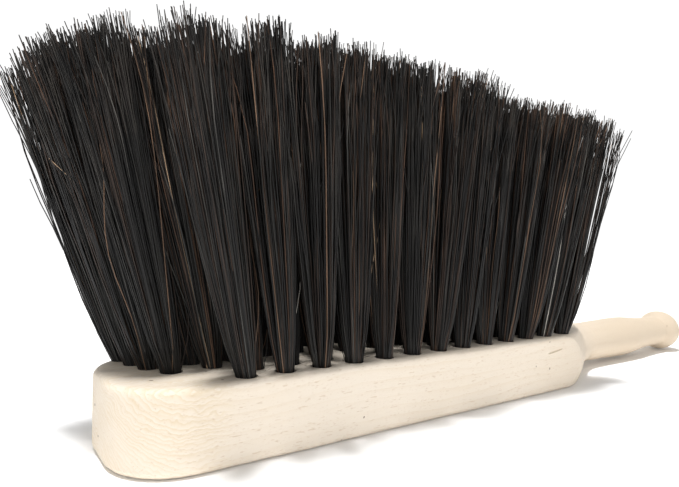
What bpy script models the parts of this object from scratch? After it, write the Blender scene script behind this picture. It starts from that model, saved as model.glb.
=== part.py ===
"""Baker's pastry brush: one beech body with drilled holes, and tufts of dark hair set in them.

The body lies on its flat back with the hair pointing up. +X runs from the round near end to the
handle, +Y across the width, +Z up. The origin is the middle of the flat back under the head.
All sizes are in metres.
"""
import math

import bmesh
import bpy
from mathutils import Matrix, Vector

# Board that the body is cut from
BOARD_THICKNESS = 0.020
HEAD_LENGTH = 0.156
HEAD_WIDTH = 0.045
NEAR_CORNER_RADIUS = 0.0165
EDGE_ROUNDING = 0.0022
EDGE_ROUNDING_STEPS = 3
CORNER_STEPS = 8

# Turning: the shoulders, then how much wood is turned off the board's half thickness
SHOULDER_LENGTH = 0.046
NECK_CUT = 0.0013
SWELL_CUT = 0.0008
WAIST_CUT = 0.0026
KNOB_CUT = 0.0002
NECK_TO_SWELL = 0.031
SWELL_TO_WAIST = 0.027
WAIST_TO_KNOB = 0.015
TURNING_SIDES = 32
SHOULDER_STATIONS = 10
HANDLE_STATIONS = 5
KNOB_STEPS = 8
SPARE_LENGTH = 0.010

# Holes and tufts
TUFT_DIAMETER = 0.0050
FIT_GAP = 0.0003
HOLE_DEPTH = 0.0120
HOLE_MOUTH = 0.0020
TUFT_SIDES = 10
ROW_COUNT = 6
FRONT_ROW_EDGE = 0.0045
BACK_ROW_EDGE = 0.0060
FRONT_ROW_TUFTS = 13
FIELD_PAST_HEAD = 0.0040
HAIR_LENGTH = 0.0835
TIP_DIAMETER = 0.0104
STRAIGHT_ROOT = 0.0030
TIP_CHAMFER = 0.0020

# How far the tips stand out beyond their roots, at each of the four edges of the field
FAN_NEAR = 0.0235
FAN_FAR = 0.0160
FAN_FRONT = 0.0050
FAN_BACK = 0.0150

# Each row: distance from the near end to its first tuft, and number of tufts
ROW_STARTS = (0.0300, 0.0354, 0.0160, 0.0125, 0.0105, 0.0090)
ROW_TUFTS = (FRONT_ROW_TUFTS, 12, 14, 14, 15, 15)

# Inner tufts whose hair has mingled: a row and its first tuft, the next row and its first tuft
JOINED_ROWS = ((1, 0, 2, 2), (3, 1, 4, 1))
WEB_THICKNESS = 0.0030
WEB_FROM = 0.45
WEB_TO = 0.80

NEAR_END = -HEAD_LENGTH / 2.0
HEAD_END = HEAD_LENGTH / 2.0
HALF_WIDTH = HEAD_WIDTH / 2.0
FIELD_END = HEAD_END + FIELD_PAST_HEAD
AXIS_HEIGHT = BOARD_THICKNESS / 2.0
HOLE_RADIUS = (TUFT_DIAMETER / 2.0 + FIT_GAP) / math.cos(math.pi / TUFT_SIDES)
TUFT_PITCH = (FIELD_END - NEAR_END - ROW_STARTS[0]) / (FRONT_ROW_TUFTS - 1)
FIRST_ROW = FRONT_ROW_EDGE - HALF_WIDTH
LAST_ROW = HALF_WIDTH - BACK_ROW_EDGE


def clear_scene():
    for item in list(bpy.data.objects):
        bpy.data.objects.remove(item, do_unlink=True)


def make_material(name, colour, roughness):
    material = bpy.data.materials.new(name)
    material.use_nodes = True
    shader = material.node_tree.nodes["Principled BSDF"]
    shader.inputs["Base Color"].default_value = (*colour, 1.0)
    shader.inputs["Roughness"].default_value = roughness
    shader.inputs["Metallic"].default_value = 0.0
    material.diffuse_color = (*colour, 1.0)
    return material


def add_object(name, bm, material=None):
    """Turns a bmesh into an object with smooth rounds and crisp corners."""
    bmesh.ops.recalc_face_normals(bm, faces=bm.faces)
    mesh = bpy.data.meshes.new(name)
    bm.to_mesh(mesh)
    bm.free()
    mesh.shade_smooth()
    mesh.set_sharp_from_angle(angle=math.radians(35.0))
    item = bpy.data.objects.new(name, mesh)
    bpy.context.collection.objects.link(item)
    if material is not None:
        mesh.materials.append(material)
    return item


def make_guide(item):
    item.hide_render = True
    item.display_type = 'WIRE'


def add_boolean(item, tool, operation):
    """Cuts or joins. Parts of one tool may meet, as wide holes do at their bottoms."""
    modifier = item.modifiers.new(operation.title(), 'BOOLEAN')
    modifier.operation = operation
    modifier.solver = 'EXACT'
    modifier.use_self = True
    modifier.object = tool
    make_guide(tool)


def arc(centre, radius, start, end, steps):
    """Points of a circular arc, both ends included, angles in radians."""
    points = []
    for step in range(steps + 1):
        angle = start + (end - start) * step / steps
        points.append(centre + radius * Vector((math.cos(angle), math.sin(angle))))
    return points


def eased(start, end, steps):
    """Stations from start to end, (x, radius) pairs joined by half a cosine wave."""
    stations = []
    for step in range(steps):
        share = step / steps
        blend = (1.0 - math.cos(math.pi * share)) / 2.0
        stations.append((start[0] + (end[0] - start[0]) * share,
                         start[1] + (end[1] - start[1]) * blend))
    return stations


def turning_profile():
    """(x, radius) stations of the turning, from the near end to the end of the knob."""
    swell_radius = AXIS_HEIGHT - SWELL_CUT
    waist_radius = AXIS_HEIGHT - WAIST_CUT
    knob_radius = AXIS_HEIGHT - KNOB_CUT
    shoulder = (HEAD_END, math.hypot(HALF_WIDTH, AXIS_HEIGHT))
    neck = (HEAD_END + SHOULDER_LENGTH, AXIS_HEIGHT - NECK_CUT)
    swell = (neck[0] + NECK_TO_SWELL, swell_radius)
    waist = (swell[0] + SWELL_TO_WAIST, waist_radius)
    knob = Vector((waist[0] + WAIST_TO_KNOB, 0.0))
    stations = [(NEAR_END - SPARE_LENGTH, shoulder[1])]
    stations += eased(shoulder, neck, SHOULDER_STATIONS)
    stations += eased(neck, swell, HANDLE_STATIONS)
    stations += eased(swell, waist, HANDLE_STATIONS)
    stations.append(waist)
    first = math.pi - math.asin(waist_radius / knob_radius)
    stations += [tuple(point) for point in arc(knob, knob_radius, first, 0.0, KNOB_STEPS)]
    stations[-1] = (stations[-1][0], 0.0)
    return stations


def make_board(material):
    """The flat board: its near corners round, its long edges rounded by hand."""
    far_end = turning_profile()[-1][0] + SPARE_LENGTH
    corner = Vector((NEAR_END + NEAR_CORNER_RADIUS, HALF_WIDTH - NEAR_CORNER_RADIUS))
    side = arc(corner, NEAR_CORNER_RADIUS, math.pi, math.pi / 2.0, CORNER_STEPS)
    side.append(Vector((far_end, HALF_WIDTH)))
    outline = side + [Vector((point.x, -point.y)) for point in reversed(side)]
    bm = bmesh.new()
    corners = [bm.verts.new((point.x, point.y, 0.0)) for point in outline]
    face = bm.faces.new(corners)
    raised = bmesh.ops.extrude_face_region(bm, geom=[face])
    lifted = [part for part in raised["geom"] if isinstance(part, bmesh.types.BMVert)]
    bmesh.ops.translate(bm, verts=lifted, vec=(0.0, 0.0, BOARD_THICKNESS))
    rims = [edge for edge in bm.edges if abs(edge.verts[0].co.z - edge.verts[1].co.z) < 1e-9]
    bmesh.ops.bevel(bm, geom=rims, offset=EDGE_ROUNDING, segments=EDGE_ROUNDING_STEPS,
                    profile=0.5, affect='EDGES')
    return add_object("beech_body", bm, material)


def turned_bmesh(stations, sides):
    """A closed solid of revolution about +Z, from (height, radius) stations in order."""
    bm = bmesh.new()
    outline = [(stations[0][0], 0.0)] + list(stations)
    if stations[-1][1] > 0.0:
        outline.append((stations[-1][0], 0.0))
    path = [bm.verts.new((radius, 0.0, height)) for height, radius in outline]
    edges = [bm.edges.new(pair) for pair in zip(path, path[1:])]
    bmesh.ops.spin(bm, geom=path + edges, cent=(0.0, 0.0, 0.0), axis=(0.0, 0.0, 1.0),
                   angle=2.0 * math.pi, steps=sides, use_merge=True)
    bmesh.ops.remove_doubles(bm, verts=bm.verts, dist=1e-6)
    return bm


def make_turning():
    """What the lathe leaves, about the board's middle line: shoulders, handle and knob."""
    item = add_object("turning", turned_bmesh(turning_profile(), TURNING_SIDES))
    item.location = (0.0, 0.0, AXIS_HEIGHT)
    item.rotation_euler = (0.0, math.pi / 2.0, 0.0)
    return item


def row_side(row):
    """Y of a row of tufts."""
    return FIRST_ROW + row * (LAST_ROW - FIRST_ROW) / (ROW_COUNT - 1)


def tuft_places(row):
    """Where the tufts of a row leave the wood, from the near end to the handle."""
    first = NEAR_END + ROW_STARTS[row]
    return [Vector((first + number * TUFT_PITCH, row_side(row), BOARD_THICKNESS))
            for number in range(ROW_TUFTS[row])]


def lean(share, low, high):
    """Even change from -low where the share is 0 to +high where it is 1."""
    return (high + low) * share - low


def tuft_frame(place):
    """The tuft's own frame: its +Z leans outwards, along the hair and the hole."""
    lean_along = lean((place.x - NEAR_END) / (FIELD_END - NEAR_END), FAN_NEAR, FAN_FAR)
    lean_across = lean((place.y - FIRST_ROW) / (LAST_ROW - FIRST_ROW), FAN_FRONT, FAN_BACK)
    rise = math.sqrt(HAIR_LENGTH ** 2 - lean_along ** 2 - lean_across ** 2)
    direction = Vector((lean_along, lean_across, rise))
    return Matrix.Translation(place) @ direction.to_track_quat('Z', 'Y').to_matrix().to_4x4()


def make_holes():
    """All the blind holes as one cutter, each along its own tuft."""
    depth = HOLE_DEPTH + HOLE_MOUTH
    middle = Matrix.Translation((0.0, 0.0, HOLE_MOUTH - depth / 2.0))
    bm = bmesh.new()
    for row in range(ROW_COUNT):
        for place in tuft_places(row):
            bmesh.ops.create_cone(bm, cap_ends=True, segments=TUFT_SIDES, radius1=HOLE_RADIUS,
                                  radius2=HOLE_RADIUS, depth=depth,
                                  matrix=tuft_frame(place) @ middle)
    return add_object("tuft_holes", bm)


def make_body(material):
    """One piece of beech: sawn as a board, turned at the handle end, drilled for the tufts."""
    body = make_board(material)
    add_boolean(body, make_turning(), 'INTERSECT')
    add_boolean(body, make_holes(), 'DIFFERENCE')
    return body


def make_tuft_mesh(material):
    """A straight root for the hole, then a cone that opens towards the cut tips."""
    root = TUFT_DIAMETER / 2.0
    tip = TIP_DIAMETER / 2.0
    stations = ((FIT_GAP - HOLE_DEPTH, root), (STRAIGHT_ROOT, root),
                (HAIR_LENGTH - TIP_CHAMFER, tip), (HAIR_LENGTH, tip - TIP_CHAMFER))
    pattern = add_object("tuft_pattern", turned_bmesh(stations, TUFT_SIDES), material)
    mesh = pattern.data
    bpy.data.objects.remove(pattern)
    return mesh


def add_tuft(name, mesh, place):
    item = bpy.data.objects.new(name, mesh)
    item.matrix_world = tuft_frame(place)
    bpy.context.collection.objects.link(item)
    return item


def make_web(name, place, other):
    """A flat web between the middle lines of two tufts, over part of their height."""
    bm = bmesh.new()
    lines = []
    for height in (WEB_FROM * HAIR_LENGTH, WEB_TO * HAIR_LENGTH):
        lines.append([tuft_frame(spot) @ Vector((0.0, 0.0, height)) for spot in (place, other)])
    across = lines[0][1] - lines[0][0]
    side = across.cross(lines[1][0] - lines[0][0]).normalized() * WEB_THICKNESS / 2.0
    for line in lines:
        for point in line:
            bm.verts.new(point + side)
            bm.verts.new(point - side)
    bmesh.ops.convex_hull(bm, input=bm.verts)
    return add_object(name, bm)


def make_joined_pair(name, mesh, place, other):
    """Two inner tufts whose hair has mingled, as one solid with two roots."""
    item = add_tuft(name, mesh, place)
    add_boolean(item, make_web(name + "_web", place, other), 'UNION')
    add_boolean(item, add_tuft(name + "_partner", mesh, other), 'UNION')
    return item


def make_tufts(mesh):
    """Every tuft: the outer ones by themselves, the inner ones in neighbouring pairs."""
    places = [tuft_places(row) for row in range(ROW_COUNT)]
    for row, first, other, other_first in JOINED_ROWS:
        mates = zip(places[row][first:], places[other][other_first:])
        for number, (place, mate) in enumerate(mates):
            name = f"tufts_rows_{row + 1}_{other + 1}_{number + 1:02d}"
            make_joined_pair(name, mesh, place, mate)
            places[row].remove(place)
            places[other].remove(mate)
    for row in range(ROW_COUNT):
        for number, place in enumerate(places[row]):
            add_tuft(f"tuft_row_{row + 1}_{number + 1:02d}", mesh, place)


def main():
    clear_scene()
    make_body(make_material("beech", (0.86, 0.72, 0.54), 0.6))
    make_tufts(make_tuft_mesh(make_material("hair", (0.016, 0.013, 0.011), 0.5)))


main()
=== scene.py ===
"""Finish of a baker's pastry brush: a hand-sanded beech body, tufts of dark hair and a plain stage.

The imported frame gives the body's size and the place of every tuft. All sizes are in metres.
"""

import math
import random
from typing import NamedTuple

import bmesh
import bpy
from bpy.props import (FloatProperty, FloatVectorProperty, IntProperty, IntVectorProperty,
                       PointerProperty)
from mathutils import Matrix, Vector, kdtree, noise


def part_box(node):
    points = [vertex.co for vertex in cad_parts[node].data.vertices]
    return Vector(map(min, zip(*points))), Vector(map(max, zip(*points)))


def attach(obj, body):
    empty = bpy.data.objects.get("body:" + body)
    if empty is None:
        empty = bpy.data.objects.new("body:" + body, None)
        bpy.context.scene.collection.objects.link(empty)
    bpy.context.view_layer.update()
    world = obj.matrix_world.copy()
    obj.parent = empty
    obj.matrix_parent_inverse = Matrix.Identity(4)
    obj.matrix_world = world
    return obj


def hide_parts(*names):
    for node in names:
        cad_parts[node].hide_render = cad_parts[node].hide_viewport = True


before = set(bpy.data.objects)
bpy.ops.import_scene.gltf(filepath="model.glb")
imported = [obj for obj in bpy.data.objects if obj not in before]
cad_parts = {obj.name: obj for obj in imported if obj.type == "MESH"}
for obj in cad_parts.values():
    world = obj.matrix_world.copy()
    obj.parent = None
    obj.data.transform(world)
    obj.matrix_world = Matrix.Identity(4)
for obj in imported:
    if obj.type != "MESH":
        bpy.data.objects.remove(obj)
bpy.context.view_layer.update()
BODY_LOW, BODY_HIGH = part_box("beech_body")
ROWS = 6

bl_info = {
    "name": "Pastry Brush",
    "version": (1, 0, 0),
    "blender": (4, 5, 0),
    "location": "View3D > Sidebar > Pastry Brush",
    "description": "Finishes a baker's pastry brush with sanded beech and tufts of dark hair",
    "category": "Object",
}


class PastryBrushBody(bpy.types.PropertyGroup):
    """The beech body: sawn board, turned shoulders and handle, sanded by hand."""
    head_length: FloatProperty(
        name="Head Length", description="Length of the straight part of the head",
        default=0.156, unit='LENGTH')
    near_corner_radius: FloatProperty(
        name="Near Corners", description="Radius of the near end's corners",
        default=0.0165, unit='LENGTH')
    edge_rounding: FloatProperty(
        name="Edge Rounding", description="Radius of the long edges",
        default=0.0009, unit='LENGTH')
    shoulder_length: FloatProperty(
        name="Shoulder Length", description="Length of the turned shoulders",
        default=0.046, unit='LENGTH')
    neck_cut: FloatProperty(
        name="Neck Cut", description="Wood turned off the half thickness at the neck",
        default=0.0013, unit='LENGTH')
    swell_cut: FloatProperty(
        name="Swell Cut", description="Wood turned off the half thickness at the swell",
        default=0.0008, unit='LENGTH')
    waist_cut: FloatProperty(
        name="Waist Cut", description="Wood turned off the half thickness at the waist",
        default=0.0026, unit='LENGTH')
    knob_cut: FloatProperty(
        name="Knob Cut", description="Wood turned off the half thickness at the knob",
        default=0.0002, unit='LENGTH')
    neck_to_swell: FloatProperty(
        name="Neck to Swell", description="Distance from the neck to the swell",
        default=0.031, unit='LENGTH')
    swell_to_waist: FloatProperty(
        name="Swell to Waist", description="Distance from the swell to the waist",
        default=0.027, unit='LENGTH')
    grid: FloatProperty(
        name="Surface Grid", description="Size of the faces of the sanded surface",
        default=0.00072, unit='LENGTH')
    sanding: FloatProperty(
        name="Sanding", description="Most wood that the sanding takes off an edge",
        default=0.0006, unit='LENGTH')
    early_wood: FloatVectorProperty(
        name="Early Wood", description="Colour between the growth rings",
        default=(0.790, 0.702, 0.592), subtype='COLOR')
    late_wood: FloatVectorProperty(
        name="Late Wood", description="Colour of the growth rings' lines",
        default=(0.735, 0.625, 0.490), subtype='COLOR')
    fleck: FloatVectorProperty(
        name="Flecks", description="Colour of the short flecks along the grain",
        default=(0.620, 0.475, 0.345), subtype='COLOR')
    end_grain: FloatVectorProperty(
        name="End Grain", description="Colour of the fine lines at the near end",
        default=(0.690, 0.560, 0.370), subtype='COLOR')
    ring_width: FloatProperty(
        name="Ring Width", description="Distance between growth rings",
        default=0.0021, unit='LENGTH')


class PastryBrushHair(bpy.types.PropertyGroup):
    """The tufts: where they stand in the wood, and how their hair grows."""
    row_starts: FloatVectorProperty(
        name="Row Starts", description="Near end to each row's first tuft",
        size=ROWS, default=(0.0300, 0.0354, 0.0160, 0.0125, 0.0105, 0.0090), unit='LENGTH')
    row_tufts: IntVectorProperty(
        name="Tufts per Row", description="Number of tufts in each row",
        size=ROWS, default=(13, 12, 14, 14, 15, 15))
    front_edge: FloatProperty(
        name="Front Edge", description="Front edge to the front row",
        default=0.0045, unit='LENGTH')
    back_edge: FloatProperty(
        name="Back Edge", description="Back edge to the back row",
        default=0.0060, unit='LENGTH')
    past_head: FloatProperty(
        name="Past Head", description="How far the front row goes into the shoulder",
        default=0.0040, unit='LENGTH')
    tuft_diameter: FloatProperty(
        name="Tuft Diameter", description="Diameter of a tuft at its root",
        default=0.0050, unit='LENGTH')
    hole_gap: FloatProperty(
        name="Hole Gap", description="Gap between a tuft and its hole",
        default=0.0003, unit='LENGTH')
    hole_depth: FloatProperty(
        name="Hole Depth", description="Depth of the tuft holes",
        default=0.0120, unit='LENGTH')
    length: FloatProperty(
        name="Hair Length", description="Length of the hair outside the wood",
        default=0.0835, unit='LENGTH')
    fan_near: FloatProperty(
        name="Fan Near", description="How far the hair leans out at the near end",
        default=0.0235, unit='LENGTH')
    fan_far: FloatProperty(
        name="Fan Far", description="How far the hair leans towards the handle",
        default=0.0160, unit='LENGTH')
    fan_front: FloatProperty(
        name="Fan Front", description="How far the front row leans out",
        default=0.0050, unit='LENGTH')
    fan_back: FloatProperty(
        name="Fan Back", description="How far the back row leans out",
        default=0.0150, unit='LENGTH')
    tip_spread: FloatProperty(
        name="Tip Spread", description="Radius of a tuft's hair at the tips",
        default=0.0077, unit='LENGTH')
    crown: FloatProperty(
        name="Crown", description="How much longer hair is away from the field's corners",
        default=0.042)
    near_spread: FloatProperty(
        name="Near Spread", description="How much wider the tufts open at the near end",
        default=0.18)
    strands: IntProperty(
        name="Strands", description="Strands in each tuft",
        default=250)
    locks: IntProperty(
        name="Locks", description="Locks that the strands of a tuft gather in",
        default=15)
    strand_diameter: FloatProperty(
        name="Strand Diameter", description="Diameter of a strand",
        default=0.00034, unit='LENGTH')
    strays: IntProperty(
        name="Strays", description="Loose hairs that cross between the tufts",
        default=260)


class PastryBrushStage(bpy.types.PropertyGroup):
    """Floor, backdrop, light and camera."""
    floor_size: FloatProperty(
        name="Floor Size", description="Width of the floor",
        default=8.0, unit='LENGTH')
    world_light: FloatProperty(
        name="Surrounding Light", description="Strength of the light all round",
        default=0.38)
    backdrop_light: FloatProperty(
        name="Backdrop Light", description="Strength of the lit backdrop",
        default=1.02)
    key_strength: FloatProperty(
        name="Key Light", description="Strength of the high key light",
        default=3.3)
    fill_power: FloatProperty(
        name="Fill Light", description="Power of the fill light",
        default=7.5, unit='POWER')
    camera_place: FloatVectorProperty(
        name="Camera Place", description="Where the camera stands",
        default=(-0.1046, -0.1388, 0.0518), subtype='XYZ', unit='LENGTH')
    camera_turn: FloatVectorProperty(
        name="Camera Turn", description="Camera yaw, pitch and roll",
        default=(math.radians(34.7), math.radians(0.29), math.radians(0.77)), unit='ROTATION')
    lens: FloatProperty(
        name="Lens", description="Focal length in millimetres on a 36 mm wide sensor",
        default=28.63)


class Signal:
    """A number carried by a shader socket, so that shader sums are written as plain arithmetic."""

    def __init__(self, shader, socket):
        self.shader = shader
        self.socket = socket

    def maths(self, operation, *values):
        return self.shader.add("ShaderNodeMath", {"operation": operation}, dict(enumerate(values)))

    def __add__(self, other):
        return self.maths('ADD', self, other)

    def __sub__(self, other):
        return self.maths('SUBTRACT', self, other)

    def __rsub__(self, other):
        return self.maths('SUBTRACT', other, self)

    def __mul__(self, other):
        return self.maths('MULTIPLY', self, other)

    def __truediv__(self, other):
        return self.maths('DIVIDE', self, other)

    def __pow__(self, other):
        return self.maths('POWER', self, other)

    __radd__ = __add__

    def fraction(self):
        return self.maths('FRACT', self)

    def root(self):
        return self.maths('SQRT', self)

    def between(self, low, high):
        """0 below low, 1 above high, and a smooth rise between them."""
        return self.shader.add("ShaderNodeMapRange", {"interpolation_type": 'SMOOTHSTEP'},
                               {"Value": self, "From Min": low, "From Max": high})


# The Mix node's sockets that serve when it mixes colours.
MIX_FACTOR, MIX_FIRST, MIX_SECOND, MIX_RESULT = 0, 6, 7, 2


class Shader:
    """A material and the nodes that are added to it."""

    def __init__(self, name):
        self.material = bpy.data.materials.new(name)
        self.material.use_nodes = True
        self.tree = self.material.node_tree
        self.place = self.add("ShaderNodeTexCoord", {}, {}, "Object")

    def add(self, kind, settings, sockets, output=0):
        """Adds a node: its settings are made first, then its sockets get their values or links."""
        node = self.tree.nodes.new(kind)
        for name, value in settings.items():
            setattr(node, name, value)
        self.feed(node, sockets)
        return Signal(self, node.outputs[output])

    def feed(self, node, sockets):
        """Gives a node's sockets their values or links."""
        for name, value in sockets.items():
            if isinstance(value, Signal):
                self.tree.links.new(value.socket, node.inputs[name])
            else:
                node.inputs[name].default_value = value

    def finish(self, looks):
        """Sets the look of the surface and gives the finished material."""
        self.feed(self.tree.nodes["Principled BSDF"], looks)
        return self.material

    def axes(self):
        """The place along X, Y and Z."""
        parts = self.add("ShaderNodeSeparateXYZ", {}, {0: self.place})
        return [Signal(self, output) for output in parts.socket.node.outputs]

    def noise(self, scale, detail):
        """Soft noise, scale in waves per metre along X, Y and Z."""
        spread = self.add("ShaderNodeVectorMath", {"operation": 'MULTIPLY'},
                          {0: self.place, 1: scale})
        return self.add("ShaderNodeTexNoise", {}, {"Vector": spread, "Scale": 1.0, "Detail": detail})

    def wander(self, scale, detail, width):
        """A length that wanders to both sides of zero."""
        return (self.noise(scale, detail) - 0.5) * width

    def mix(self, factor, first, second):
        """A colour between two colours."""
        first, second = (colour if isinstance(colour, Signal) else (*colour, 1.0)
                         for colour in (first, second))
        return self.add("ShaderNodeMix", {"data_type": 'RGBA'},
                        {MIX_FACTOR: factor, MIX_FIRST: first, MIX_SECOND: second}, MIX_RESULT)


class Mark(NamedTuple):
    """A kind of mark on the wood: its noise, where that rises from no mark to all of it, how much
    it colours the wood and how deep it is."""
    scale: tuple
    detail: float
    rise: tuple
    colouring: float
    depth: float


# All noise scales are in waves per metre along, across and up the board.
FLECKS = Mark((420.0, 2600.0, 2600.0), 1.0, (0.66, 0.74), 0.55, 0.6)
PORES = Mark((900.0, 6500.0, 6500.0), 0.0, (0.70, 0.78), 0.35, 0.4)
SPECKS = Mark((620.0, 620.0, 620.0), 0.0, (0.850, 0.865), 0.8, 1.5)
STAIN = Mark((18.0, 45.0, 45.0), 3.0, (0.45, 0.75), 0.22, 0.0)
SPECK_COLOUR = (0.16, 0.10, 0.06)
STAIN_COLOUR = (0.78, 0.665, 0.515)

# The pith, and how far the rings wander from circles round it, in metres.
PITH_SIDE = 0.012
PITH_SLANT = 0.03
PITH_DEPTH = 0.030
PITH_DRIFT_SCALE = (14.0, 60.0, 60.0)
PITH_DRIFT = 0.010
RING_DRIFT_SCALE = (40.0, 260.0, 260.0)
RING_DRIFT = 0.0016
ARC_DRIFT_SCALE = (330.0, 330.0, 330.0)
ARC_DRIFT = 0.0022

# The growth rings, and the finer arcs of the end grain.
RING_SHARPNESS = 3.0
RING_EDGE = 0.93
RING_LEAST = 0.25
RING_CHANGE = 0.55
ARC_WIDTH = 0.42
ARC_SHARPNESS = 2.0
ARC_EDGE = 0.85
ARC_LEAST = 0.30
ARC_CHANGE = 0.60
ARCS_FULL = 0.018
ARCS_GONE = 0.028
FADE_SCALE = (25.0, 90.0, 90.0)
FADE_RISE = (0.35, 0.65)

# Painted shade: the wood grows darker towards the shoulder and handle, from this share of the head's
# length on.
HANDLE_SHADE_COLOUR = (0.60, 0.490, 0.365)
HANDLE_SHADE_FROM = 0.30
HANDLE_SHADE_MOST = 0.85

# The feel of the sanded surface.
FIBRE_SCALE = (260.0, 3200.0, 3200.0)
FIBRE_DEPTH = 0.5
UNEVENNESS_SCALE = (90.0, 420.0, 420.0)
RELIEF = 0.00016
RELIEF_STRENGTH = 0.55
ROUGHNESS = 0.58
ROUGHNESS_CHANGE = 0.14


def pith_distance(shader, along, across, height):
    """Distance from the pith, which runs below the board at a slight slant."""
    side = across - PITH_SIDE + along * PITH_SLANT
    down = height + PITH_DEPTH + shader.wander(PITH_DRIFT_SCALE, 3.0, PITH_DRIFT)
    return (side * side + down * down).root()


def ring_lines(radius, width, sharpness, edge):
    """Lines round the pith: each builds up slowly and ends sharply, as late wood does."""
    ring = (radius / width).fraction()
    return ring ** sharpness * (1.0 - ring.between(edge, 1.0))


def add_mark(shader, mark, wood, relief, colour):
    """The wood's colour and relief with one kind of mark added."""
    strength = shader.noise(mark.scale, mark.detail).between(*mark.rise)
    return shader.mix(strength * mark.colouring, wood, colour), relief - strength * mark.depth


def beech_finish(body):
    """Bare sanded beech: growth rings, flecks, pores, end grain, specks, stain, and painted shade
    that darkens the wood towards the handle.
    """
    shader = Shader("sanded_beech")
    along, across, height = shader.axes()
    radius = pith_distance(shader, along, across, height)
    fade = shader.noise(FADE_SCALE, 2.0).between(*FADE_RISE)
    uneven = shader.noise(UNEVENNESS_SCALE, 2.0)
    relief = shader.noise(FIBRE_SCALE, 3.0) * FIBRE_DEPTH + uneven
    late = ring_lines(radius + shader.wander(RING_DRIFT_SCALE, 2.0, RING_DRIFT),
                      body.ring_width, RING_SHARPNESS, RING_EDGE)
    wood = shader.mix(late * (RING_LEAST + fade * RING_CHANGE), body.early_wood, body.late_wood)
    wood, relief = add_mark(shader, FLECKS, wood, relief, body.fleck)
    wood, relief = add_mark(shader, PORES, wood, relief, body.fleck)
    arcs = ring_lines(radius + shader.wander(ARC_DRIFT_SCALE, 2.0, ARC_DRIFT),
                      body.ring_width * ARC_WIDTH, ARC_SHARPNESS, ARC_EDGE)
    arcs = arcs * (1.0 - along.between(BODY_LOW.x + ARCS_FULL, BODY_LOW.x + ARCS_GONE))
    wood = shader.mix(arcs * (ARC_LEAST + fade * ARC_CHANGE), wood, body.end_grain)
    wood, relief = add_mark(shader, SPECKS, wood, relief, SPECK_COLOUR)
    wood, relief = add_mark(shader, STAIN, wood, relief, STAIN_COLOUR)
    # Painted shade: darker wood towards the shoulder and handle, where the hair's shadow falls.
    handle_shade = along.between(body.head_length * HANDLE_SHADE_FROM, body.head_length) * HANDLE_SHADE_MOST
    wood = shader.mix(handle_shade, wood, HANDLE_SHADE_COLOUR)
    bump = shader.add("ShaderNodeBump", {}, {"Height": relief, "Distance": RELIEF,
                                             "Strength": RELIEF_STRENGTH})
    return shader.finish({"Base Color": wood, "Roughness": ROUGHNESS + uneven * ROUGHNESS_CHANGE,
                          "Normal": bump})


class HairKind(NamedTuple):
    """A colour of hair and how common it is."""
    name: str
    colour: tuple
    share: float
    browning: float
    stray_share: float


# Name, colour, share of a tuft's strands, how much commoner it is in the browner tufts, and share
# of the loose hairs.
HAIR_KINDS = (
    HairKind("hair_black", (0.0066, 0.0060, 0.0056), 0.50, 0.0, 3.0),
    HairKind("hair_charcoal", (0.0205, 0.0192, 0.0170), 0.28, 0.0, 3.0),
    HairKind("hair_grey", (0.060, 0.0575, 0.0520), 0.045, 0.0, 3.0),
    HairKind("hair_dark_brown", (0.030, 0.0185, 0.0130), 0.12, 0.7, 3.0),
    HairKind("hair_red_brown", (0.070, 0.0370, 0.0220), 0.036, 1.0, 2.5),
    HairKind("hair_mid_brown", (0.15, 0.090, 0.056), 0.0120, 0.9, 1.6),
    HairKind("hair_tan", (0.42, 0.29, 0.185), 0.0040, 0.6, 1.0),
    HairKind("hair_white", (0.72, 0.67, 0.60), 0.0012, 0.0, 0.55),
)

# Lighter patches, and wear that sets in between two heights. Wear makes the hair paler and browner.
PATCH_SCALE = (160.0, 160.0, 60.0)
PATCH_RISE = (0.35, 0.7)
WORN_PATCH_RISE = (0.4, 0.65)
WORN_HEIGHTS = (0.045, 0.105)
WORN_GAIN = 1.9
WORN_BROWN = (0.012, 0.007, 0.004)
WORN_MOST = 0.7
DARK_GAIN = 0.55


def hair_finish(kind):
    """Dull dark hair, lighter and browner in patches and towards its worn tips."""
    shader = Shader(kind.name)
    patches = shader.noise(PATCH_SCALE, 2.0)
    worn = shader.axes()[2].between(*WORN_HEIGHTS)
    pale = tuple(min(1.0, part * WORN_GAIN + extra) for part, extra in zip(kind.colour, WORN_BROWN))
    dark = tuple(part * DARK_GAIN for part in kind.colour)
    shade = shader.mix(patches.between(*PATCH_RISE), dark, kind.colour)
    shade = shader.mix(worn * patches.between(*WORN_PATCH_RISE) * WORN_MOST, shade, pale)
    return shader.finish({"Base Color": shade, "Roughness": 0.42, "Specular IOR Level": 0.28})


def hair_materials():
    """One material for each kind of hair, made on first use."""
    return [bpy.data.materials.get(kind.name) or hair_finish(kind) for kind in HAIR_KINDS]


def pick_kind(rng, weights):
    """Index of a random kind of hair."""
    return rng.choices(range(len(HAIR_KINDS)), weights)[0]


def make_object(name, data):
    """An object in the scene, with a mesh, a curve, a light or a camera as its data."""
    item = bpy.data.objects.new(name, data)
    bpy.context.scene.collection.objects.link(item)
    return item


def object_from(name, bm):
    """A scratch object from a closed bmesh."""
    bmesh.ops.recalc_face_normals(bm, faces=bm.faces)
    mesh = bpy.data.meshes.new(name)
    bm.to_mesh(mesh)
    bm.free()
    return make_object(name, mesh)


def settled_mesh(item):
    """The object's mesh with its modifiers applied, or a curve made a mesh."""
    graph = bpy.context.evaluated_depsgraph_get()
    return bpy.data.meshes.new_from_object(item.evaluated_get(graph), depsgraph=graph)


def add_boolean(item, tool, operation):
    """Cuts the item with the tool, or keeps only what both share."""
    modifier = item.modifiers.new(operation.title(), 'BOOLEAN')
    modifier.operation = operation
    modifier.solver = 'EXACT'
    modifier.object = tool


def discard(*items):
    """Removes scratch objects."""
    for item in items:
        bpy.data.objects.remove(item)


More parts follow.
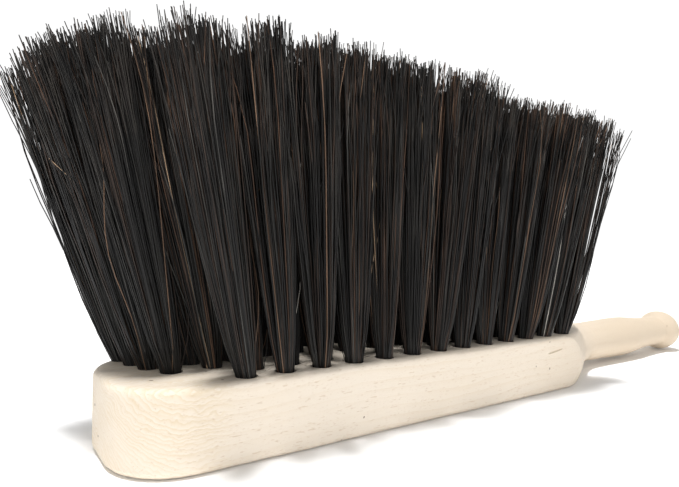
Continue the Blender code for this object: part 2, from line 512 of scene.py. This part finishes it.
# How finely the curves of the body are divided.
CORNER_STEPS = 24
EDGE_STEPS = 6
SHOULDER_STEPS = 24
HANDLE_STEPS = 12
KNOB_STEPS = 20
TURNING_SIDES = 96
HOLE_SIDES = 20

# Points closer than this are one point, and an edge that rises less than this lies level.
SAME_POINT = 1e-6
LEVEL_EDGE = 1e-9


def arc(centre, radius, start, end, steps):
    """Points of a circular arc, both ends included, angles in radians."""
    return [centre + radius * Vector((math.cos(angle), math.sin(angle)))
            for angle in (start + (end - start) * step / steps for step in range(steps + 1))]


def eased(start, end, steps):
    """Stations from start to end, joined by half a cosine wave."""
    shares = [step / steps for step in range(steps)]
    return [start + (end - start) * Vector((1.0, 0.0)) * share
            + (end - start) * Vector((0.0, 1.0)) * (1.0 - math.cos(math.pi * share)) / 2.0
            for share in shares]


def turning_profile(body):
    """(x, radius) stations of the turning, from the near end to the end of the knob."""
    half = (BODY_HIGH.z - BODY_LOW.z) / 2.0
    shoulder = Vector((BODY_LOW.x + body.head_length, math.hypot(BODY_HIGH.y, half)))
    neck = Vector((shoulder.x + body.shoulder_length, half - body.neck_cut))
    swell = Vector((neck.x + body.neck_to_swell, half - body.swell_cut))
    waist = Vector((swell.x + body.swell_to_waist, half - body.waist_cut))
    knob_radius = half - body.knob_cut
    knob = Vector((BODY_HIGH.x - knob_radius, 0.0))
    first = math.pi - math.asin(waist.y / knob_radius)
    stations = [Vector((BODY_LOW.x - half, shoulder.y))]
    stations += eased(shoulder, neck, SHOULDER_STEPS)
    stations += eased(neck, swell, HANDLE_STEPS) + eased(swell, waist, HANDLE_STEPS) + [waist]
    stations += arc(knob, knob_radius, first, 0.0, KNOB_STEPS)
    stations[-1].y = 0.0
    return stations


def make_turning(body):
    """What the lathe leaves, spun about the board's middle line."""
    stations = turning_profile(body)
    bm = bmesh.new()
    path = [bm.verts.new((stations[0].x, 0.0, 0.0))]
    path += [bm.verts.new((station.x, 0.0, station.y)) for station in stations]
    edges = [bm.edges.new(pair) for pair in zip(path, path[1:])]
    bmesh.ops.spin(bm, geom=path + edges, cent=(0.0, 0.0, 0.0), axis=(1.0, 0.0, 0.0),
                   angle=math.tau, steps=TURNING_SIDES, use_merge=True)
    bmesh.ops.remove_doubles(bm, verts=bm.verts, dist=SAME_POINT)
    bmesh.ops.translate(bm, verts=bm.verts, vec=(0.0, 0.0, (BODY_LOW.z + BODY_HIGH.z) / 2.0))
    return object_from("turning", bm)


def make_board(body):
    """The sawn board with its round near end and rounded long edges."""
    corner = Vector((BODY_LOW.x + body.near_corner_radius, BODY_HIGH.y - body.near_corner_radius))
    side = arc(corner, body.near_corner_radius, math.pi, math.pi / 2.0, CORNER_STEPS)
    side.append(Vector((BODY_HIGH.x + body.edge_rounding * 2.0, BODY_HIGH.y)))
    outline = side + [Vector((point.x, -point.y)) for point in reversed(side)]
    bm = bmesh.new()
    face = bm.faces.new([bm.verts.new((point.x, point.y, BODY_LOW.z)) for point in outline])
    raised = bmesh.ops.extrude_face_region(bm, geom=[face])["geom"]
    lifted = [part for part in raised if isinstance(part, bmesh.types.BMVert)]
    bmesh.ops.translate(bm, verts=lifted, vec=(0.0, 0.0, BODY_HIGH.z - BODY_LOW.z))
    rims = [edge for edge in bm.edges
            if abs(edge.verts[0].co.z - edge.verts[1].co.z) < LEVEL_EDGE]
    bmesh.ops.bevel(bm, geom=rims, offset=body.edge_rounding, segments=EDGE_STEPS, profile=0.5,
                    affect='EDGES', material=-1)
    return object_from("board", bm)


def lean(share, low, high):
    """Even change from -low where the share is 0 to +high where it is 1."""
    return (high + low) * share - low


def tuft_frames(body, hair):
    """Every tuft's own frame, by rows: origin where it leaves the wood, +Z along its hair."""
    far = body.head_length + hair.past_head
    pitch = (far - hair.row_starts[0]) / (hair.row_tufts[0] - 1)
    first, last = BODY_LOW.y + hair.front_edge, BODY_HIGH.y - hair.back_edge
    frames = []
    for row in range(ROWS):
        across = row / (ROWS - 1)
        for number in range(hair.row_tufts[row]):
            along = hair.row_starts[row] + number * pitch
            place = Vector((BODY_LOW.x + along, first + across * (last - first), BODY_HIGH.z))
            reach = Vector((lean(along / far, hair.fan_near, hair.fan_far),
                            lean(across, hair.fan_front, hair.fan_back), 0.0))
            reach.z = math.sqrt(hair.length ** 2 - reach.length_squared)
            turn = reach.to_track_quat('Z', 'Y').to_matrix().to_4x4()
            frames.append(Matrix.Translation(place) @ turn)
    return frames


def make_holes(body, hair):
    """All the blind holes as one cutter, which stands out of the wood by a hole's diameter."""
    radius = hair.tuft_diameter / 2.0 + hair.hole_gap
    bm = bmesh.new()
    for place in tuft_frames(body, hair):
        middle = Matrix.Translation((0.0, 0.0, -hair.hole_depth / 2.0 + radius))
        bmesh.ops.create_cone(bm, cap_ends=True, segments=HOLE_SIDES, radius1=radius, radius2=radius,
                              depth=hair.hole_depth + 2.0 * radius, matrix=place @ middle)
    return object_from("tuft_holes", bm)


# The nick in the front face: its place, half sizes and tilt.
NICK_BEFORE_SHOULDER = 0.0060
NICK_BELOW_TOP = 0.0052
NICK_REACH = (0.0046, 0.0007, 0.00042)
NICK_TILT = math.radians(-7.0)


def make_nick(body):
    """A short slit where a tool slipped, on the front face near the shoulder."""
    bm = bmesh.new()
    place = Vector((BODY_LOW.x + body.head_length - NICK_BEFORE_SHOULDER, BODY_LOW.y,
                    BODY_HIGH.z - NICK_BELOW_TOP))
    bmesh.ops.create_icosphere(bm, subdivisions=3, radius=1.0)
    bmesh.ops.scale(bm, verts=bm.verts, vec=NICK_REACH)
    bmesh.ops.rotate(bm, verts=bm.verts, matrix=Matrix.Rotation(NICK_TILT, 3, 'Y'))
    bmesh.ops.translate(bm, verts=bm.verts, vec=place)
    return object_from("nick", bm)


# How the sanding varies over the wood: scales in waves per metre, the ripple in metres.
UNEVEN_SCALE = 70.0
FINE_UNEVEN_SCALE = 210.0
RIPPLE_SCALE = 120.0
RIPPLE = 0.00006
HANDLE_SANDING = 0.25


def sand(mesh, body):
    """Takes wood off the edges by hand, more in some places than in others, and adds none."""
    neck = BODY_LOW.x + body.head_length + body.shoulder_length
    normals = [vertex.normal.copy() for vertex in mesh.vertices]
    for vertex, normal in zip(mesh.vertices, normals):
        edge = 2.0 * abs(normal.z) * math.hypot(normal.x, normal.y)
        if vertex.co.x > neck:
            edge = HANDLE_SANDING
        uneven = (0.5 + 0.5 * noise.noise(vertex.co * UNEVEN_SCALE)
                  + 0.25 * noise.noise(vertex.co * FINE_UNEVEN_SCALE))
        ripple = RIPPLE * (1.0 + noise.noise(vertex.co * RIPPLE_SCALE))
        vertex.co -= normal * (body.sanding * edge * max(uneven, 0.0) + ripple)


# How the sanded surface is smoothed, and the angle from which an edge stays crisp.
SOFTENING = 0.5
SOFTENING_PASSES = 3
CRISP_ANGLE = math.radians(50.0)


class PASTRYBRUSH_OT_body(bpy.types.Operator):
    """Makes the beech body: board, turning, sanding and holes, all one piece of wood"""
    bl_idname = "pastrybrush.body"
    bl_label = "Make Beech Body"

    def execute(self, context):
        body = context.scene.pastry_brush_body
        board = make_board(body)
        turning = make_turning(body)
        add_boolean(board, turning, 'INTERSECT')
        surface = board.modifiers.new("Surface", 'REMESH')
        surface.mode = 'VOXEL'
        surface.voxel_size = body.grid
        soften = board.modifiers.new("Soften", 'SMOOTH')
        soften.factor = SOFTENING
        soften.iterations = SOFTENING_PASSES
        mesh = settled_mesh(board)
        sand(mesh, body)
        rough = make_object("sanded", mesh)
        holes = make_holes(body, context.scene.pastry_brush_hair)
        nick = make_nick(body)
        add_boolean(rough, holes, 'DIFFERENCE')
        add_boolean(rough, nick, 'DIFFERENCE')
        mesh = settled_mesh(rough)
        discard(board, turning, rough, holes, nick)
        mesh.materials.clear()
        mesh.materials.append(beech_finish(body))
        mesh.shade_smooth()
        mesh.set_sharp_from_angle(angle=CRISP_ANGLE)
        piece = make_object("beech_body_sanded", mesh)
        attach(piece, "root")
        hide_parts("beech_body")
        return {'FINISHED'}


def tufts_by_node(body, hair):
    """Each CAD node's tuft frames, found by the node whose root stands in that tuft's hole."""
    corners = [(name, vertex.co) for name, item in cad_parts.items() if name != "beech_body"
               for vertex in item.data.vertices]
    tree = kdtree.KDTree(len(corners))
    for index, (name, corner) in enumerate(corners):
        tree.insert(corner, index)
    tree.balance()
    found = {}
    for place in tuft_frames(body, hair):
        deep = place @ Vector((0.0, 0.0, hair.hole_gap - hair.hole_depth))
        corner, index, distance = tree.find(deep)
        if distance > hair.tuft_diameter:
            raise RuntimeError(f"no CAD tuft stands in the hole at {tuple(place.translation)}")
        found.setdefault(corners[index][0], []).append(place)
    return found


def disc_point(rng, radius):
    """A random point in a disc about the origin, in the XY plane."""
    angle = rng.uniform(0.0, math.tau)
    return radius * math.sqrt(rng.random()) * Vector((math.cos(angle), math.sin(angle), 0.0))


def scatter(rng, width):
    """A random step in the XY plane, most often shorter than the width."""
    return Vector((rng.gauss(0.0, width), rng.gauss(0.0, width), 0.0))


# How a strand runs. It starts in its hole, and the tuft opens soon after it leaves the wood. Curl
# and bend are wider than the wave, and the curl sets in near the tip.
ROOT_DEPTH = 0.0015
OPENING = 0.66
CURL_WIDTH = 2.2
BEND_WIDTH = 1.5
WAVE_TURNS = (0.7, 1.8)
TIP_CURL = 3.5


def strand_path(rng, root, tip, length, wave, points):
    """Points of one strand in its tuft's frame: straight out of the hole, then towards its tip."""
    sway = disc_point(rng, wave)
    curl = disc_point(rng, wave * CURL_WIDTH)
    bend = disc_point(rng, wave * BEND_WIDTH)
    turns = rng.uniform(*WAVE_TURNS) * math.tau
    phase = rng.uniform(0.0, math.tau)
    path = []
    for number in range(points):
        share = number / (points - 1)
        spread = root + (tip - root) * share ** OPENING
        waver = sway * math.sin(turns * share + phase) * share + bend * (share * share - share)
        waver += curl * max(0.0, share * TIP_CURL - (TIP_CURL - 1.0)) ** 2
        height = (length + ROOT_DEPTH) * share - ROOT_DEPTH
        path.append(spread + waver + Vector((0.0, 0.0, height)))
    return path


def add_strand(curve, path, kind, taper):
    """One strand: a thin spline that narrows towards its tip."""
    spline = curve.splines.new('POLY')
    last = len(path) - 1
    spline.points.add(last)
    for number, (point, place) in enumerate(zip(spline.points, path)):
        point.co = (*place, 1.0)
        point.radius = 1.0 - taper * (number / last) ** 3
    spline.material_index = kind
    spline.use_smooth = True


def new_strands(name, diameter):
    """An empty curve whose splines become strands."""
    curve = bpy.data.curves.new(name, 'CURVE')
    curve.dimensions = '3D'
    curve.bevel_depth = diameter / 2.0
    curve.bevel_resolution = 0
    curve.use_fill_caps = True
    for material in hair_materials():
        curve.materials.append(material)
    return curve


def finish_strands(name, curve):
    """The curve's strands as one mesh piece that rides on the body."""
    scratch = make_object(name, curve)
    mesh = settled_mesh(scratch)
    discard(scratch)
    piece = make_object(name, mesh)
    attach(piece, "root")
    return piece


# How the hair of a tuft scatters.
TUFT_TILT = 0.0012
LOCK_SCATTER = 0.0015
STRAND_SCATTER = 0.0006
STRAND_WAVE = (0.0003, 0.0017)

# How long the hair of a tuft is, as shares of the hair's length.
CORNER_REACH = 0.985
TUFT_REACH = (0.990, 1.008)
LOCK_REACH = (0.970, 1.010)
STRAND_SHORTFALL = 0.016

# A few strands leave their lock and cross the tuft, and a few are worn short.
CROSSING = 0.14
CROSSING_PULL = 0.6
CROSSING_SCATTER = 0.0045
WORN_SHORT = 0.07
WORN_REACH = (0.6, 0.95)

STRAND_POINTS = 9
STRAND_TAPER = 0.35

# How brown a tuft's hair is in the middle of the field, and how much browner it gets over half the
# field's length towards the handle.
BROWN_MIDDLE = 0.5
BROWN_GROWTH = 0.8
BROWN_OVER = 0.078
BROWN_SCATTER = (-0.5, 0.9)
BROWN_MOST = 1.6


def tuft_locks(rng, hair, root_radius, widen, tilt):
    """(root, tip, share of the length) of the locks that the strands of a tuft gather in."""
    locks = []
    for number in range(hair.locks):
        root = disc_point(rng, root_radius)
        tip = root * widen + tilt + scatter(rng, LOCK_SCATTER)
        locks.append((root, tip, rng.uniform(*LOCK_REACH)))
    return locks


def kind_weights(rng, place):
    """How common each kind of hair is in a tuft."""
    growth = place.translation.x / BROWN_OVER * BROWN_GROWTH
    browning = max(0.0, min(BROWN_MOST, BROWN_MIDDLE + growth + rng.uniform(*BROWN_SCATTER)))
    return [kind.share * (1.0 + kind.browning * browning) for kind in HAIR_KINDS]


def grow_tuft(rng, curve, place, hair):
    """The strands of one tuft, gathered in locks that part from each other towards the tips."""
    root_radius = hair.tuft_diameter / 2.0 - hair.strand_diameter
    nearness = place.translation.x / BODY_LOW.x
    widen = hair.tip_spread * (1.0 + hair.near_spread * max(0.0, nearness)) / root_radius
    tilt = scatter(rng, TUFT_TILT)
    aside = (place.translation.y / (BODY_HIGH.y - hair.front_edge)) ** 2
    inside = 1.0 - min(aside, abs(nearness))
    reach = hair.length * (CORNER_REACH + hair.crown * inside) * rng.uniform(*TUFT_REACH)
    locks = tuft_locks(rng, hair, root_radius, widen, tilt)
    weights = kind_weights(rng, place)
    for number in range(hair.strands):
        root = disc_point(rng, root_radius)
        start, end, share = min(locks, key=lambda lock: (lock[0] - root).length_squared)
        loose = scatter(rng, STRAND_SCATTER)
        tip = (root * widen + tilt) * 0.5 + end * 0.5 + loose
        if rng.random() < CROSSING:
            tip = tip * CROSSING_PULL + disc_point(rng, CROSSING_SCATTER)
        length = reach * share * (1.0 - abs(rng.gauss(0.0, STRAND_SHORTFALL)))
        if rng.random() < WORN_SHORT:
            length *= rng.uniform(*WORN_REACH)
        path = strand_path(rng, root, tip, length, rng.uniform(*STRAND_WAVE), STRAND_POINTS)
        add_strand(curve, [place @ point for point in path], pick_kind(rng, weights), STRAND_TAPER)


class PASTRYBRUSH_OT_tufts(bpy.types.Operator):
    """Grows the hair of every tuft out of its hole, one piece for each CAD node"""
    bl_idname = "pastrybrush.tufts"
    bl_label = "Grow Tufts"

    def execute(self, context):
        hair = context.scene.pastry_brush_hair
        groups = tufts_by_node(context.scene.pastry_brush_body, hair)
        for index, name in enumerate(sorted(groups)):
            rng = random.Random(index)
            curve = new_strands(name, hair.strand_diameter)
            for place in groups[name]:
                grow_tuft(rng, curve, place, hair)
            piece = finish_strands(name + "_hair", curve)
            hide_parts(name)
        return {'FINISHED'}


# Loose hairs are thinner than the tufts' hair, lean well out of their tuft and end at any length.
STRAY_SEED = 71
STRAY_THICKNESS = 0.85
STRAY_AWAY = 0.018
STRAY_OPENING = 2.2
STRAY_REACH = (0.55, 1.01)
STRAY_WAVE = (0.001, 0.0035)
STRAY_POINTS = 12
STRAY_TAPER = 0.4


def stray_path(rng, place, hair):
    """A loose hair that leaves its tuft and crosses its neighbours."""
    root = disc_point(rng, hair.tuft_diameter / 2.0)
    away = disc_point(rng, STRAY_AWAY)
    length = hair.length * rng.uniform(*STRAY_REACH)
    tip = root * STRAY_OPENING + away
    path = strand_path(rng, root, tip, length, rng.uniform(*STRAY_WAVE), STRAY_POINTS)
    return [place @ point for point in path]


class PASTRYBRUSH_OT_strays(bpy.types.Operator):
    """Adds the loose hairs that cross between the tufts, where they stay inside the field"""
    bl_idname = "pastrybrush.strays"
    bl_label = "Add Stray Hairs"

    def execute(self, context):
        hair = context.scene.pastry_brush_hair
        places = tuft_frames(context.scene.pastry_brush_body, hair)
        tips = [place @ Vector((0.0, 0.0, hair.length)) for place in places]
        low = Vector([min(tip[axis] for tip in tips) for axis in range(2)])
        high = Vector([max(tip[axis] for tip in tips) for axis in range(2)])
        weights = [kind.stray_share for kind in HAIR_KINDS]
        rng = random.Random(STRAY_SEED)
        curve = new_strands("stray_hairs", hair.strand_diameter * STRAY_THICKNESS)
        for number in range(hair.strays):
            path = stray_path(rng, rng.choice(places), hair)
            if all(low[axis] < path[-1][axis] < high[axis] for axis in range(2)):
                add_strand(curve, path, pick_kind(rng, weights), STRAY_TAPER)
        finish_strands("stray_hairs", curve)
        return {'FINISHED'}


# The stage. The backdrop's distance is a share of the floor's size.
WHITE = (1.0, 1.0, 1.0, 1.0)
BLACK = (0.0, 0.0, 0.0, 1.0)
FLOOR_GAP = 0.0001
BACKDROP_AWAY = 0.45
KEY_PLACE = (-0.12, 0.0, 1.0)
KEY_WIDTH = math.radians(6.0)
FILL_PLACE = (-0.45, -1.25, 0.18)
FILL_TARGET = (0.0, 0.0, 0.03)
FILL_SIZE = 0.6
SENSOR_WIDTH = 36.0
CLOSEST_VIEW = 0.005


def make_sheet(name, width, material):
    """A flat square sheet of the stage, facing up."""
    bm = bmesh.new()
    bmesh.ops.create_grid(bm, x_segments=1, y_segments=1, size=width / 2.0)
    mesh = bpy.data.meshes.new(name)
    bm.to_mesh(mesh)
    bm.free()
    mesh.materials.append(material)
    sheet = make_object(name, mesh)
    return sheet


def make_floor(stage):
    """A plain white floor, just under the brush."""
    white = Shader("white_floor").finish({"Base Color": WHITE, "Roughness": 0.9,
                                          "Specular IOR Level": 0.1})
    floor = make_sheet("floor", stage.floor_size, white)
    floor.location.z = BODY_LOW.z - FLOOR_GAP


def make_backdrop(stage):
    """A lit white wall that stands behind the brush, square to the camera."""
    lit = Shader("lit_backdrop").finish({"Base Color": BLACK, "Roughness": 1.0,
                                         "Emission Color": WHITE,
                                         "Emission Strength": stage.backdrop_light})
    wall = make_sheet("backdrop", stage.floor_size, lit)
    turn = Matrix.Rotation(-stage.camera_turn[0], 4, 'Z')
    away = Matrix.Translation((0.0, stage.floor_size * BACKDROP_AWAY, 0.0))
    stand = Matrix.Rotation(math.pi / 2.0, 4, 'X')
    wall.matrix_world = turn @ away @ stand


def add_light(name, kind, place, target):
    """A light that faces its target."""
    light = bpy.data.lights.new(name, kind)
    item = make_object(name, light)
    item.location = place
    item.rotation_euler = (Vector(target) - Vector(place)).to_track_quat('-Z', 'Y').to_euler()
    return light


def add_lights(stage):
    """A key light from above and a wide, low fill light in front, on the left."""
    key = add_light("key_light", 'SUN', KEY_PLACE, (0.0, 0.0, 0.0))
    key.energy = stage.key_strength
    key.angle = KEY_WIDTH
    fill = add_light("fill_light", 'AREA', FILL_PLACE, FILL_TARGET)
    fill.shape = 'SQUARE'
    fill.size = FILL_SIZE
    fill.energy = stage.fill_power


def add_camera(stage):
    """The camera, low beside the near end and looking along the brush."""
    data = bpy.data.cameras.new("camera")
    data.sensor_width = SENSOR_WIDTH
    data.lens = stage.lens
    data.clip_start = CLOSEST_VIEW
    yaw, pitch, roll = stage.camera_turn
    ahead = Vector((math.sin(yaw) * math.cos(pitch), math.cos(yaw) * math.cos(pitch),
                    math.sin(pitch)))
    level = Vector((math.cos(yaw), -math.sin(yaw), 0.0))
    above = level.cross(ahead)
    right = level * math.cos(roll) + above * math.sin(roll)
    up = above * math.cos(roll) - level * math.sin(roll)
    turn = Matrix((right, up, -ahead)).transposed().to_4x4()
    camera = make_object("camera", data)
    camera.matrix_world = Matrix.Translation(stage.camera_place) @ turn
    bpy.context.scene.camera = camera


def set_surroundings(stage):
    """Even white light from all round, and colours shown as they are."""
    world = bpy.data.worlds.new("surroundings")
    world.use_nodes = True
    background = world.node_tree.nodes["Background"]
    background.inputs["Color"].default_value = WHITE
    background.inputs["Strength"].default_value = stage.world_light
    bpy.context.scene.world = world
    bpy.context.scene.view_settings.view_transform = 'Standard'


class PASTRYBRUSH_OT_stage(bpy.types.Operator):
    """Sets up the floor, the backdrop, the lights and the camera"""
    bl_idname = "pastrybrush.stage"
    bl_label = "Set Up Stage"

    def execute(self, context):
        stage = context.scene.pastry_brush_stage
        make_floor(stage)
        make_backdrop(stage)
        set_surroundings(stage)
        add_lights(stage)
        add_camera(stage)
        return {'FINISHED'}


class PASTRYBRUSH_PT_panel(bpy.types.Panel):
    """Sizes, colours and steps of the pastry brush"""
    bl_idname = "PASTRYBRUSH_PT_panel"
    bl_label = "Pastry Brush"
    bl_space_type = 'VIEW_3D'
    bl_region_type = 'UI'
    bl_category = "Pastry Brush"

    def draw(self, context):
        for group in (context.scene.pastry_brush_body, context.scene.pastry_brush_hair,
                      context.scene.pastry_brush_stage):
            box = self.layout.box()
            for name in group.__annotations__:
                box.prop(group, name)
        for operator in OPERATORS:
            self.layout.operator(operator.bl_idname)


GROUPS = {"pastry_brush_body": PastryBrushBody, "pastry_brush_hair": PastryBrushHair,
          "pastry_brush_stage": PastryBrushStage}
OPERATORS = (PASTRYBRUSH_OT_stage, PASTRYBRUSH_OT_body, PASTRYBRUSH_OT_tufts, PASTRYBRUSH_OT_strays)


def register():
    for group in GROUPS.values():
        bpy.utils.register_class(group)
    for name, group in GROUPS.items():
        setattr(bpy.types.Scene, name, PointerProperty(type=group))
    for operator in OPERATORS:
        bpy.utils.register_class(operator)
    bpy.utils.register_class(PASTRYBRUSH_PT_panel)


def unregister():
    bpy.utils.unregister_class(PASTRYBRUSH_PT_panel)
    for operator in reversed(OPERATORS):
        bpy.utils.unregister_class(operator)
    for name in GROUPS:
        delattr(bpy.types.Scene, name)
    for group in reversed(GROUPS.values()):
        bpy.utils.unregister_class(group)


def main():
    register()
    bpy.ops.pastrybrush.stage()
    bpy.ops.pastrybrush.body()
    bpy.ops.pastrybrush.tufts()
    bpy.ops.pastrybrush.strays()


if __name__ == "__main__":
    main()
